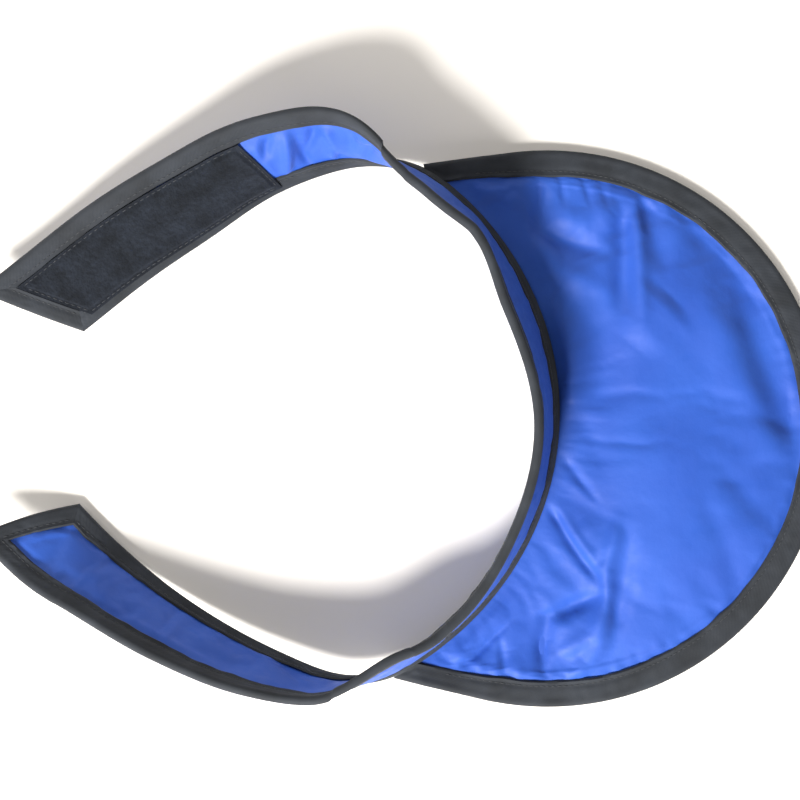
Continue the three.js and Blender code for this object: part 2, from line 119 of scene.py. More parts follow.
def band_column(name, at):
    """The named column at each spot, by a cubic through the two rows on either side."""
    spots = BAND_SECTIONS[:, 0]
    values = BAND_SECTIONS[:, BAND_COLUMNS.index(name)]
    at = np.clip(at, spots[0], spots[-1])
    last = len(spots) - 1
    i = np.clip(np.searchsorted(spots, at, side="right"), 1, last)
    before, after = np.where(i > 1, i - 2, i), np.where(i < last, i + 1, i - 1)
    start, end = spots[i - 1], spots[i]
    half = (end - start) / 2
    pull_back = np.where(i > 1, half / (start - spots[np.maximum(i - 2, 0)] + (i < 2)), -0.5)
    pull_on = np.where(i < last, half / (spots[np.minimum(i + 1, last)] - end + (i == last)), -0.5)
    p = (at - start) / (end - start)
    return (
        (-pull_back * p**3 + 2 * pull_back * p**2 - pull_back * p) * values[before]
        + ((1 + pull_back) * p**3 - (1.5 + 2 * pull_back) * p**2 - (0.5 - pull_back) * p + 1) * values[i - 1]
        + (-(1 + pull_on) * p**3 + (1.5 + pull_on) * p**2 + 0.5 * p) * values[i]
        + (pull_on * p**3 - pull_on * p**2) * values[after]
    )


print("sections:", len(BAND_SECTIONS))

# %% [markdown]
# ## From the band's flat cut to its place
# s runs along the lower edge from the middle of the neck seam, t up from that edge, and n off the middle of the
# cloth towards its inside. The lower edge follows the seam, and each arm then turns in, a millimetre at a time.

# %% The band's formula
STEP = 1.0
FOLD_FLAT, FOLD_ROUND, CLEARANCE = 0.99, 1.32, 0.1


def spot_at(s):
    """Place in the table of sections for a distance along the lower edge."""
    past = np.abs(s) - SEAM_HALF
    arm = np.where(s > 0, ARM_LENGTH[1], ARM_LENGTH[-1])
    return np.where(past <= 0, s / SEAM_HALF, np.sign(s) * (1 + past / arm))


def arm_plan(side):
    """Plan of one arm's lower edge, from its horn on, a point for each step."""
    steps = math.ceil(ARM_LENGTH[side] / STEP) + 1
    at = side * (1 + (np.arange(steps) + 0.5) * STEP / ARM_LENGTH[side])
    heading = SEAM_ANGLE + np.radians(band_column("turn", at))
    x = EDGE_RADIUS * math.sin(SEAM_ANGLE) + np.concatenate([[0], np.cumsum(np.cos(heading)) * STEP])
    y = -EDGE_RADIUS * math.cos(SEAM_ANGLE) + np.concatenate([[0], np.cumsum(np.sin(heading)) * STEP])
    return x, y


ARM_PLANS = {side: arm_plan(side) for side in (1, -1)}


def edge_plan(s):
    """Plan point and heading of the lower edge."""
    past = np.abs(s) - SEAM_HALF
    angle = s / EDGE_RADIUS
    x, y, heading = EDGE_RADIUS * np.sin(angle), -EDGE_RADIUS * np.cos(angle), angle.copy()
    for side, (plan_x, plan_y) in ARM_PLANS.items():
        on_arm = (past > 0) & (np.sign(s) == side)
        spots = np.arange(len(plan_x)) * STEP
        x[on_arm] = side * np.interp(past[on_arm], spots, plan_x)
        y[on_arm] = np.interp(past[on_arm], spots, plan_y)
        turn = np.radians(band_column("turn", spot_at(s[on_arm])))
        heading[on_arm] = side * (SEAM_ANGLE + turn)
    return x, y, heading


def edge_height(s):
    """Height of the lower edge over the table."""
    at = spot_at(s)
    lean = np.radians(band_column("lean", at))
    sine = np.abs(np.sin(lean))
    below = np.maximum(FOLD_FLAT * sine, HALF_TAPE * sine - FOLD_ROUND * np.cos(lean))
    return np.maximum(band_column("lift", at), 0) * BAND_WIDTH + below + CLEARANCE


def unit(v):
    return v / np.linalg.norm(v, axis=1, keepdims=True)


def band_point(s, t, n):
    """Points of the band in millimetres from the neck circle's middle."""
    s, t, n = (np.asarray(v, float) for v in np.broadcast_arrays(s, t, n))
    x, y, heading = edge_plan(s)
    height = edge_height(s)
    climb = (edge_height(s + STEP) - edge_height(s - STEP)) / (2 * STEP)
    along = unit(np.column_stack([np.cos(heading), np.sin(heading), climb]))
    out = np.column_stack([np.sin(heading), -np.cos(heading), np.zeros_like(s)])
    up = np.cross(out, along)
    at = spot_at(s)
    lean = np.radians(band_column("lean", at))[:, None]
    across = up * np.cos(lean) + out * np.sin(lean)
    inside = up * np.sin(lean) - out * np.cos(lean)
    bow = band_column("bow", at)
    share = t / BAND_WIDTH
    chord = 1 - 8 / 3 * bow**2
    normal = unit(inside - across * (4 * bow * (1 - 2 * share))[:, None])
    return (
        np.column_stack([x, y, height])
        + across * (t * chord)[:, None]
        + inside * (4 * bow * BAND_WIDTH * share * (1 - share))[:, None]
        + normal * n[:, None]
    )


def slanted_reach(side, t):
    """Length of an arm at height t, to its slanted tip."""
    length = np.where(side > 0, ARM_LENGTH[1], ARM_LENGTH[-1])
    return length - (BAND_WIDTH - t) * math.tan(TIP_SLANT)


tips = band_point(np.array([-300.0, 300.0]), np.array([40.0, 40.0]), np.zeros(2))
print("tip corners, mm:", tips.round(1).tolist())

# %% [markdown]
# ## From the bib's flat cut to its place
# The bib lies almost flat, so its cut is its plan. Its inner edge is the neck seam, and its hem is a round arc
# that runs out straight to two blunt horns. Near the horns the twisting band lifts the bib off the table.

# %% The bib's formula
horn = np.array([
    SEAM_RADIUS * math.sin(SEAM_ANGLE) + HORN_WIDTH,
    -SEAM_RADIUS * math.cos(SEAM_ANGLE) - HEM_CENTRE_Y,
])
horn_reach = math.hypot(*horn)
HEM_ARC = math.atan2(horn[0], -horn[1]) - math.acos(HEM_RADIUS / horn_reach)
HEM_RUN = math.sqrt(horn_reach**2 - HEM_RADIUS**2)
HEM_HALF = HEM_RADIUS * HEM_ARC + HEM_RUN
LIFT_REACH = 0.55 * BIB_DEPTH


def smoothstep(x, low, high):
    p = np.clip((x - low) / (high - low), 0, 1)
    return p * p * (3 - 2 * p)


def hem_line(h):
    """Plan point of the hem and the way out of the bib there. h runs from -1 to 1."""
    side = np.where(h < 0, -1, 1)
    length = np.abs(h) * HEM_HALF
    angle = np.minimum(length / HEM_RADIUS, HEM_ARC)
    run = np.maximum(length - HEM_RADIUS * HEM_ARC, 0)
    x = HEM_RADIUS * np.sin(angle) + run * math.cos(HEM_ARC)
    y = HEM_CENTRE_Y - HEM_RADIUS * np.cos(angle) + run * math.sin(HEM_ARC)
    return np.column_stack([side * x, y]), np.column_stack([side * np.sin(angle), -np.cos(angle)])


def from_hem(p):
    """Distance of plan points in from the hem line."""
    x, y = np.abs(p[:, 0]), p[:, 1] - HEM_CENTRE_Y
    from_arc = HEM_RADIUS - np.hypot(x, y)
    end_x, end_y = HEM_RADIUS * math.sin(HEM_ARC), -HEM_RADIUS * math.cos(HEM_ARC)
    from_run = np.abs((x - end_x) * math.sin(HEM_ARC) - (y - end_y) * math.cos(HEM_ARC))
    return np.where(np.arctan2(x, -y) < HEM_ARC, from_arc, from_run)


def bib_plan(along, deep):
    """Plan point of the bib at shares along it and from the neck seam to the raw hem edge."""
    angle = along * SEAM_ANGLE
    seam = SEAM_RADIUS * np.column_stack([np.sin(angle), -np.cos(angle)])
    point, out = hem_line(along)
    return seam + (point - RAW_INSET * out - seam) * deep[:, None]


def bib_lift(p):
    """Height of the bib's middle surface over the table."""
    along = np.clip(np.arctan2(p[:, 0], -p[:, 1]) / SEAM_ANGLE, -1, 1)
    from_seam = np.maximum(np.hypot(p[:, 0], p[:, 1]) - SEAM_RADIUS, 0)
    return np.maximum(band_column("lift", along), 0) * BAND_WIDTH * (1 - smoothstep(from_seam, 0, LIFT_REACH))


print("hem length, mm:", round(2 * HEM_HALF))

# %% [markdown]
# ## Cloth as a grid
# A sewn piece is a grid thickened to a slab. Each corner of the slab has a share along the piece, a share across
# it and a face, 0 or 1. The piece's own formula turns these into a place, and the flat cut becomes its UV map,
# so that a weave runs with the cloth.

# %% Helpers for meshes
def cloth(name, rows, columns, place, smooth_angle=180):
    """A closed sheet. place(along, across, face) gives points in mm and flat coordinates in mm."""
    bm = bmesh.new()
    bmesh.ops.create_grid(bm, x_segments=rows, y_segments=columns, size=1)
    bmesh.ops.solidify(bm, geom=bm.faces[:], thickness=1)
    mesh = bpy.data.meshes.new(name)
    bm.to_mesh(mesh)
    bm.free()
    corners = np.empty(3 * len(mesh.vertices))
    mesh.vertices.foreach_get("co", corners)
    corners = corners.reshape(-1, 3)
    points, flat = place((corners[:, 0] + 1) / 2, (corners[:, 1] + 1) / 2, np.abs(corners[:, 2]).round())
    mesh.vertices.foreach_set("co", (points * MM + MIDDLE).ravel())
    uv_of_vertices(mesh, flat)
    mesh.attributes.new("face", "FLOAT", "POINT").data.foreach_set("value", np.abs(corners[:, 2]).round())
    bm = bmesh.new()
    bm.from_mesh(mesh)
    bmesh.ops.recalc_face_normals(bm, faces=bm.faces)
    bm.to_mesh(mesh)
    bm.free()
    mesh.shade_smooth()
    if smooth_angle < 180:
        mesh.set_sharp_from_angle(angle=math.radians(smooth_angle))
    piece = bpy.data.objects.new(name, mesh)
    bpy.context.scene.collection.objects.link(piece)
    print(name, "faces:", len(mesh.polygons))
    return piece


def uv_of_vertices(mesh, flat):
    """A UV map in metres of the flat cut."""
    vertex = np.empty(len(mesh.loops), dtype=np.int32)
    mesh.loops.foreach_get("vertex_index", vertex)
    uv = mesh.uv_layers.new(name="cut")
    uv.data.foreach_set("uv", (np.asarray(flat)[vertex] * MM).ravel())


def waver(x, wavelength, seed, reach=40.0):
    """Smooth random values between -1 and 1 along x."""
    table = np.random.default_rng(seed).uniform(-1, 1, 512)
    x = x / wavelength + reach
    i = np.floor(x).astype(int)
    p = smoothstep(x - i, 0, 1)
    return table[i % 512] * (1 - p) + table[(i + 1) % 512] * p


def rumple(x, y, wavelength, seed):
    """Smooth random values between -1 and 1 over a plane."""
    table = np.random.default_rng(seed).uniform(-1, 1, (128, 128))
    x, y = x / wavelength + 64, y / wavelength + 64
    i, j = np.floor(x).astype(int), np.floor(y).astype(int)
    p, q = smoothstep(x - i, 0, 1), smoothstep(y - j, 0, 1)
    i, j = i % 128, j % 128
    k, m = (i + 1) % 128, (j + 1) % 128
    near = table[i, j] * (1 - p) + table[k, j] * p
    far = table[i, m] * (1 - p) + table[k, m] * p
    return near * (1 - q) + far * q


def fold_relief(p, folds):
    """Height at flat points p from a table of folds: rounded ridges and dents that die out at their ends."""
    height = np.zeros(len(p))
    for _name, start, bend, end, wide, high in folds:
        nearest, place = np.full(len(p), np.inf), np.zeros(len(p))
        for half, (a, b) in enumerate(((start, bend), (bend, end))):
            a, way = np.array(a, float), np.subtract(b, a).astype(float)
            share = np.clip((p - a) @ way / (way @ way), 0, 1)
            gap = ((p - a - share[:, None] * way) ** 2).sum(1)
            closer = gap < nearest
            nearest, place = np.where(closer, gap, nearest), np.where(closer, (half + share) / 2, place)
        strength = smoothstep(place, -0.12, 0.3) * smoothstep(1 - place, -0.12, 0.3)
        width = wide * (0.6 + 0.4 * strength)
        height += high * strength * np.exp(-nearest / width**2)
    return height


print("helpers ready")

# %% [markdown]
# ## Letting a cover settle
# A padded cover is cut a little larger than its filling and held down only where the tapes grip it, so the spare
# cloth buckles into small soft puckers. Sculpting these by hand looks stiff, so the cover is simulated: cloth
# that grows by a few per cent, blown up lightly from within, without gravity because the filling carries it. The
# motion is capped, one round of subdivision smooths it, and the larger folds are embossed afterwards.

# %% Simulating, subdividing and embossing
SIMULATED_FRAMES = 20


def places(mesh):
    values = np.empty(3 * len(mesh.vertices))
    mesh.vertices.foreach_get("co", values)
    return values.reshape(-1, 3)


def face_of(mesh):
    values = np.empty(len(mesh.vertices))
    mesh.attributes["face"].data.foreach_get("value", values)
    return values


def cut_of(mesh):
    """The flat cut's coordinates of each vertex, in millimetres."""
    vertex = np.empty(len(mesh.loops), dtype=np.int32)
    mesh.loops.foreach_get("vertex_index", vertex)
    uv = np.empty(2 * len(mesh.loops))
    mesh.uv_layers["cut"].data.foreach_get("uv", uv)
    flat = np.zeros((len(mesh.vertices), 2))
    flat[vertex] = uv.reshape(-1, 2) / MM
    return flat


def settle(piece, held, slack, pressure, cap):
    """Simulates a cover with spare cloth. held marks the vertices that stay where they are."""
    group = piece.vertex_groups.new(name="sewn")
    group.add([int(i) for i in np.flatnonzero(held)], 1.0, "REPLACE")
    modifier = piece.modifiers.new("Cloth", "CLOTH")
    settings = modifier.settings
    settings.vertex_group_mass = group.name
    settings.quality = 6
    settings.mass = 0.1
    settings.bending_stiffness = 0.02
    settings.shrink_min = -slack
    settings.use_pressure = True
    settings.uniform_pressure_force = pressure
    settings.effector_weights.gravity = 0
    start = places(piece.data)
    for number in range(1, SIMULATED_FRAMES + 1):
        bpy.context.scene.frame_set(number)
    settled = piece.evaluated_get(bpy.context.evaluated_depsgraph_get())
    move = places(settled.data) - start
    far = np.maximum(np.linalg.norm(move, axis=1), 1e-9)
    move *= np.minimum(1, cap * MM / far)[:, None]
    piece.modifiers.remove(modifier)
    piece.vertex_groups.remove(group)
    piece.data.vertices.foreach_set("co", (start + move).ravel())
    bpy.context.scene.frame_set(1)
    print(piece.name, "moved by up to", round(far.max() / MM, 2), "mm, mean", round(far.mean() / MM, 2))


def subdivide(piece):
    """One round of subdivision, kept in the mesh."""
    modifier = piece.modifiers.new("Subdivision", "SUBSURF")
    modifier.levels = modifier.render_levels = 1
    graph = bpy.context.evaluated_depsgraph_get()
    smooth = bpy.data.meshes.new_from_object(
        piece.evaluated_get(graph), preserve_all_data_layers=True, depsgraph=graph,
    )
    piece.modifiers.clear()
    piece.data = smooth
    smooth.name = piece.name
    smooth.shade_smooth()


def emboss(piece, height):
    """Moves every vertex along its normal by height(cut, face) in millimetres."""
    mesh = piece.data
    normals = np.empty(3 * len(mesh.vertices))
    mesh.vertex_normals.foreach_get("vector", normals)
    rise = height(cut_of(mesh), face_of(mesh))
    moved = places(mesh) + normals.reshape(-1, 3) * rise[:, None] * MM
    mesh.vertices.foreach_set("co", moved.ravel())
    mesh.update()
    print(piece.name, "embossed from", rise.min().round(2), "to", rise.max().round(2), "mm")

# %% [markdown]
# ## The bib
# The bib is a flat cushion. Its nylon is cut a little larger than the rubber inside, so it puckers along the
# tape and creases where the collar has been folded away. The larger folds are a table: where each starts, bends
# and ends on the cut, how wide it is and how high.

# %% Folds of the bib, in millimetres on the cut
BIB_FOLDS = [
    ("valley beside the tall ridge", (95, -141), (74, -143), (48, -143), 5, -3.2),
    ("tall ridge", (97, -147), (72, -149), (47, -152), 3.8, 2.2),
    ("dark flank behind the ridge", (102, -151), (87, -154), (67, -160), 5.5, -2),
    ("boss at the ridge's foot", (37, -148), (49, -157), (57, -164), 10.1, 3),
    ("bent valley by the loop horn", (107, -105), (82, -108), (74, -136), 4.2, -2.6),
    ("swell above that valley", (89, -114), (87, -126), (94, -141), 7.1, 2.2),
    ("roll under that valley", (90, -99), (67, -114), (59, -136), 5.9, 2.2),
    ("pleat in the hem 1", (109, -105), (100, -107), (89, -108), 1.5, -1),
    ("pleat in the hem 2", (110, -115), (101, -116), (93, -117), 1.5, -1),
    ("pleat in the hem 3", (109, -124), (101, -126), (94, -128), 1.5, -0.9),
    ("pleat in the hem 4", (108, -132), (101, -133), (94, -135), 1.5, -0.8),
    ("slope beside the seam", (54, -116), (29, -124), (-1, -123), 6.7, 2.6),
    ("valley beyond that slope", (59, -133), (30, -138), (5, -137), 9.2, -1.8),
    ("hollow near the hem", (58, -194), (30, -206), (-4, -222), 8.4, -3),
    ("roll before the hollow", (57, -179), (26, -194), (-6, -212), 9.2, 1.6),
    ("crease off the seam", (-9, -121), (-19, -129), (-29, -138), 1.9, -1.2),
    ("dent over it", (12, -120), (0, -133), (-16, -139), 5, -0.9),
    ("sharp crease", (-30, -117), (-45, -127), (-63, -141), 2.3, -2.4),
    ("ridge over the sharp crease", (-32, -121), (-48, -132), (-56, -139), 2.9, 1.6),
    ("pillow past it", (-37, -131), (-45, -137), (-53, -141), 4.6, 1),
    ("hooked valley", (-100, -118), (-79, -120), (-67, -141), 3.4, -2.4),
    ("hollow inside the hook", (-79, -124), (-73, -130), (-70, -140), 5, -1.6),
    ("ridge round the hook", (-94, -125), (-84, -139), (-68, -144), 3.8, 1.8),
    ("long ridge", (-35, -147), (-56, -143), (-75, -145), 3.4, 2.2),
    ("long ridge's foot", (-70, -145), (-89, -142), (-107, -130), 3.8, 2),
    ("valley beside the long ridge", (-40, -152), (-65, -150), (-87, -148), 4.2, -1.7),
    ("faint dent", (-26, -181), (-42, -191), (-65, -200), 5, -0.9),
    ("faint dent further on", (-13, -189), (-25, -201), (-39, -213), 5, -0.9),
    ("swell between them", (-43, -182), (-37, -200), (-33, -211), 5.9, 0.7),
    ("crease off the hook horn", (-107, -80), (-94, -93), (-81, -105), 1.9, -1.4),
    ("short crease beside it", (-86, -83), (-76, -94), (-68, -103), 1.7, -0.9),
    ("roll between these creases", (-100, -81), (-86, -92), (-73, -103), 2.9, 1.1),
    ("pucker in the hem 1", (-88, -101), (-98, -103), (-110, -104), 1.7, -0.9),
    ("pucker in the hem 2", (-88, -118), (-97, -120), (-111, -121), 1.7, -0.9),
    ("dent by the loop horn", (100, -69), (91, -81), (79, -94), 3.8, -1.4),
    ("roll by the loop horn", (103, -77), (96, -91), (92, -102), 3.4, 1),
    ("broad swell", (6, -154), (-27, -168), (-69, -162), 25.2, 3),
    ("broad slope to the loop side", (99, -174), (75, -192), (46, -206), 18.9, -2),
]
BIB_RAW, BIB_FULL = 1.6, 4.0
BIB_ROWS, BIB_COLUMNS = 165, 56
TUCKED_AT_SEAM = 1.8


def bib_place(along, deep, face):
    """The bib's two faces: flat below, padded above, thin where the tape grips it."""
    along = 2 * along - 1
    p = bib_plan(along, deep)
    past_seam = np.hypot(p[:, 0], p[:, 1]) - SEAM_RADIUS
    padding = smoothstep(from_hem(p) - HEM_TAPE, -1.5, 5) * smoothstep(past_seam, 0, 9)
    under = (HALF_TAPE - BIB_RAW / 2) * (1 - padding) + bib_lift(p)
    top = under + BIB_RAW + (BIB_FULL - BIB_RAW) * padding
    # The inner edge is tucked in under the tape of the neck seam.
    tuck = TUCKED_AT_SEAM * (1 - smoothstep(past_seam, 0, 6))
    placed = p - unit(p) * tuck[:, None]
    return np.column_stack([placed, np.where(face > 0, under, top)]), p


def bib_held(cut, face):
    past_seam = np.hypot(cut[:, 0], cut[:, 1]) - SEAM_RADIUS
    return (face > 0.5) | (from_hem(cut) < HEM_TAPE) | (past_seam < 1)


def bib_folds(cut, face):
    """The table's folds, a seam pucker and a crumple, on the outside only."""
    in_from_tape = from_hem(cut) - HEM_TAPE
    past_seam = np.hypot(cut[:, 0], cut[:, 1]) - SEAM_RADIUS
    loose = smoothstep(in_from_tape, -0.5, 5) * smoothstep(past_seam, 0, 5)
    around = np.arctan2(cut[:, 0], HEM_CENTRE_Y - cut[:, 1]) * HEM_RADIUS
    pucker = 0.3 * waver(around, 3.6, 4) * np.exp(-(((in_from_tape - 2.5) / 4) ** 2))
    crumple = 0.3 * rumple(cut[:, 0], cut[:, 1], 19, 1) + 0.1 * rumple(cut[:, 0], cut[:, 1], 8, 2)
    relief = (fold_relief(cut, BIB_FOLDS) + crumple) * loose + pucker * smoothstep(in_from_tape, -1, 1)
    return np.where(face < 0.5, relief, 0)


bib = cloth("bib_cover", BIB_ROWS, BIB_COLUMNS, bib_place)
settle(bib, bib_held(cut_of(bib.data), face_of(bib.data)), slack=0.008, pressure=2.5, cap=3)
subdivide(bib)
emboss(bib, bib_folds)

# %% [markdown]
# ## The neckband
# The band is the same padded cloth, with tape along both edges and both tips. It is stiff across and bends along
# its length, so its folds run across it, most of all where the arms twist over.

# %% Folds of the neckband: distance along from the seam's middle and height up from the lower edge
LOOP_HORN = SEAM_HALF
BAND_FOLDS = [
    ("dark fold", (LOOP_HORN + 49, 36), (LOOP_HORN + 51, 26), (LOOP_HORN + 56, 15), 1.9, -2.5),
    ("ridge past the dark fold", (LOOP_HORN + 46, 35), (LOOP_HORN + 45, 22), (LOOP_HORN + 45, 6), 2.2, 2.1),
    ("dent at its foot", (LOOP_HORN + 47, 26), (LOOP_HORN + 44, 14), (LOOP_HORN + 42, 4), 1.7, -1.5),
    ("wedge near the patch", (LOOP_HORN + 63, 35), (LOOP_HORN + 69, 26), (LOOP_HORN + 73, 18), 1.9, -2.2),
    ("bright streak", (LOOP_HORN + 60, 32), (LOOP_HORN + 63, 17), (LOOP_HORN + 67, 4), 1.9, 2),
    ("slanting dent", (LOOP_HORN + 57, 28), (LOOP_HORN + 57, 16), (LOOP_HORN + 55, 7), 1.7, -1.7),
    ("roll before the patch", (LOOP_HORN + 70, 34), (LOOP_HORN + 72, 22), (LOOP_HORN + 72, 8), 2.2, 1.4),
    ("small dent", (LOOP_HORN + 30, 32), (LOOP_HORN + 31, 20), (LOOP_HORN + 33, 10), 1.7, -1.4),
    ("dent past the middle", (LOOP_HORN + 38, 34), (LOOP_HORN + 38, 26), (LOOP_HORN + 39, 15), 1.9, -1.2),
    ("light crest", (LOOP_HORN + 35, 37), (LOOP_HORN + 34, 28), (LOOP_HORN + 27, 27), 2.6, 1.2),
]
BAND_RAW, BAND_FULL = 1.6, 3.0
PATCH_WIDTH, PATCH_LOW, PATCH_FROM_TIP = 27.7, 4.0, 8.6
PATCH_TOP = PATCH_LOW + PATCH_WIDTH
PATCH_END_SLANT = math.radians(15)
PATCH_LENGTH = {1: 104.0, -1: 50.0}
BAND_ROWS, BAND_ACROSS = 310, 18


def band_distance(share, reach):
    """Distance along for a share of the whole band. Only the outer part of an arm stretches to its tip."""
    total = 2 * SEAM_HALF + ARM_LENGTH[1] + ARM_LENGTH[-1]
    s = share * total - SEAM_HALF - ARM_LENGTH[-1]
    side = np.where(s > 0, 1, -1)
    arm = np.where(s > 0, ARM_LENGTH[1], ARM_LENGTH[-1])
    past = np.maximum(np.abs(s) - SEAM_HALF, 0) / arm
    return s + side * past**5 * (reach(side) - arm)


def band_rim(s, t):
    """Distance in from the nearest rim of the band's tapes."""
    side = np.where(s > 0, 1, -1)
    from_tip = (slanted_reach(side, t) - (np.abs(s) - SEAM_HALF)) * math.cos(TIP_SLANT)
    return np.minimum(np.minimum(t, BAND_WIDTH - t), from_tip) - BAND_TAPE


def patch_ends(side, t):
    """Distances past the horn, at height t, of a patch's ends: the one near the tip and the far one."""
    length = np.where(side > 0, PATCH_LENGTH[1], PATCH_LENGTH[-1])
    tip = slanted_reach(side, PATCH_TOP) - PATCH_FROM_TIP / math.cos(TIP_SLANT)
    return tip - (PATCH_TOP - t) * math.tan(TIP_SLANT), tip - length - (PATCH_TOP - t) * math.tan(PATCH_END_SLANT)


def under_patch(cut, face):
    """1 where a patch lies on the cover, 0 a little outside of it."""
    s, t = cut.T
    near, far = patch_ends(np.sign(s), t)
    past = np.abs(s) - SEAM_HALF
    inside = np.minimum.reduce([past - far, near - past, t - PATCH_LOW, PATCH_TOP - t])
    return smoothstep(inside, -3, 0) * ((s > 0) == (face < 0.5))


def band_place(along, across, face):
    """The band's two faces, padded between the tapes."""
    t = RAW_INSET + across * (BAND_WIDTH - 2 * RAW_INSET)
    inset = RAW_INSET / math.cos(TIP_SLANT)
    s = band_distance(along, lambda side: slanted_reach(side, t) - inset)
    rim = band_rim(s, t)
    padding = smoothstep(rim, -1, 4)
    way = np.where(face > 0, -1, 1)
    half = (BAND_RAW + (BAND_FULL - BAND_RAW) * padding) / 2
    return band_point(s, t, way * half), np.column_stack([s, t])


def band_held(cut, face):
    return (band_rim(cut[:, 0], cut[:, 1]) < 0) | (under_patch(cut, face) > 0.3)


def band_folds(cut, face):
    """The table's folds on the inside, and a seam pucker and a crumple on both faces."""
    s, t = cut[:, 0] + 300 * face.round(), cut[:, 1]
    rim = band_rim(cut[:, 0], t)
    crumple = 0.25 * rumple(s, t, 13, 11) + 0.1 * rumple(s, t, 6, 12)
    pucker = 0.2 * waver(s, 3.2, 13) * np.exp(-(((rim - 1.5) / 3) ** 2)) * smoothstep(rim, -1, 1)
    folds = np.where(face < 0.5, fold_relief(cut, BAND_FOLDS), 0)
    return ((crumple + folds) * smoothstep(rim, -0.5, 5) + pucker) * (1 - under_patch(cut, face))


band = cloth("neckband_cover", BAND_ROWS, BAND_ACROSS, band_place)
settle(band, band_held(cut_of(band.data), face_of(band.data)), slack=0.012, pressure=2.5, cap=1.2)
subdivide(band)
emboss(band, band_folds)

# %% [markdown]
# ## The binding tapes
# Every edge is bound with a bias tape, folded over it and stitched through near both of its rims. The section is
# a U: round at the fold, pinched where the stitches pull it in, and a little open at the rims. Here the grid's
# second direction runs round that U, from one rim to the other.

# %% Section of a folded tape
TAPE_CLOTH = 0.7
STITCH_FROM_RIM = 1.6
TAPE_SWELL = 2.0
MITRE_LAP = -0.15


def tape_section(across, face, width, waviness):
    """Depth in from the fold and offset off the middle, round the U. Face 0 is the outer one."""
    half = TAPE_SWELL - TAPE_CLOTH * face
    quarter = math.pi / 2 * half
    reach = np.abs(2 * across - 1) * (quarter + width - half)
    way = np.where(across < 0.5, 1, -1)
    bend = np.minimum(reach / half, math.pi / 2)
    depth = half * (1 - np.cos(bend)) + np.maximum(reach - quarter, 0) + TAPE_CLOTH * face
    offset = half * np.sin(bend)
    stitched = np.exp(-(((width - depth - STITCH_FROM_RIM) / 1.1) ** 2))
    slack = smoothstep(depth, TAPE_SWELL, TAPE_SWELL + 2)
    offset = offset - slack * (0.15 + 0.4 * stitched) + waviness * slack * (1 - stitched)
    return depth, way * offset


HEM_TAIL = 9.0


def hem_place(along, across, face):
    """The hem's tape. Its two ends run on past the horns and taper in under the band."""
    length = (2 * along - 1) * (HEM_HALF + HEM_TAIL)
    point, out = hem_line(length / HEM_HALF)
    near_end = smoothstep(np.abs(length), HEM_HALF - 45, HEM_HALF)
    past_horn = smoothstep(np.abs(length), HEM_HALF, HEM_HALF + HEM_TAIL)
    # Near the horns the tape's rim stops at the neck seam.
    past = point[:, 0] * out[:, 1] - point[:, 1] * out[:, 0]
    inner = SEAM_RADIUS - TUCKED_AT_SEAM
    to_neck = (point * out).sum(1) - np.sqrt(np.maximum(inner**2 - past**2, 0))
    width = HEM_TAPE - 2.2 * near_end + 0.35 * waver(length, 9, 21)
    width = np.clip(width, 2.6, np.maximum(to_neck, 2.6))
    creases = 0.3 * rumple(length + 2 * HEM_TAPE * across, 14 * across, 5, 22) + 0.15 * waver(length, 3, 23)
    depth, offset = tape_section(across, face, width, creases)
    p = point - out * depth[:, None]
    flat = np.column_stack([length, (across - 0.5) * 2 * HEM_TAPE])
    return np.column_stack([p, HALF_TAPE + bib_lift(p) + offset * (1 - 0.5 * past_horn)]), flat


def edge_place(fold, inward, corner, seed):
    """The tape along one edge of the band, mitred at the tips by the angle of the band's corner."""
    mitre, trim = 1 / math.tan(corner / 2), MITRE_LAP / math.sin(corner / 2)

    def place(along, across, face):
        rough = band_distance(along, lambda side: ARM_LENGTH[1] * (side > 0) + ARM_LENGTH[-1] * (side < 0))
        width = BAND_TAPE + 0.3 * waver(rough, 9, seed)
        creases = 0.25 * rumple(rough + 2 * BAND_TAPE * across, 12 * across, 5, seed + 1) + 0.12 * waver(rough, 3, seed + 2)
        depth, offset = tape_section(across, face, width, creases)
        s = band_distance(along, lambda side: slanted_reach(side, fold) - depth * mitre - trim)
        flat = np.column_stack([s, (across - 0.5) * 2 * BAND_TAPE])
        return band_point(s, fold + inward * depth, offset), flat

    return place


def tip_place(side):
    """The tape across a slanted tip, mitred at both ends."""
    lower, upper = math.pi / 2 + TIP_SLANT, math.pi / 2 - TIP_SLANT
    edge = BAND_WIDTH / math.cos(TIP_SLANT)

    def place(along, across, face):
        depth, offset = tape_section(across, face, BAND_TAPE + 0 * along, 0.15 * waver(along * edge, 4, 41))
        start = depth / math.tan(lower / 2) + MITRE_LAP / math.sin(lower / 2)
        end = edge - depth / math.tan(upper / 2) - MITRE_LAP / math.sin(upper / 2)
        q = start + (end - start) * along
        t = q * math.cos(TIP_SLANT) + depth * math.sin(TIP_SLANT)
        past = slanted_reach(side, 0) + q * math.sin(TIP_SLANT) - depth * math.cos(TIP_SLANT)
        return band_point(side * (SEAM_HALF + past), t, offset), np.column_stack([q, across * 2 * BAND_TAPE])

    return place


TAPE_ACROSS = 26
hem = cloth("hem_tape", 460, TAPE_ACROSS, hem_place, 50)
seam_tape = cloth("neck_seam_tape", 620, TAPE_ACROSS, edge_place(0, 1, math.pi / 2 + TIP_SLANT, 31), 50)
top_tape = cloth("top_edge_tape", 620, TAPE_ACROSS, edge_place(BAND_WIDTH, -1, math.pi / 2 - TIP_SLANT, 34), 50)
loop_tip = cloth("loop_tip_tape", 46, TAPE_ACROSS, tip_place(1), 50)
hook_tip = cloth("hook_tip_tape", 46, TAPE_ACROSS, tip_place(-1), 50)

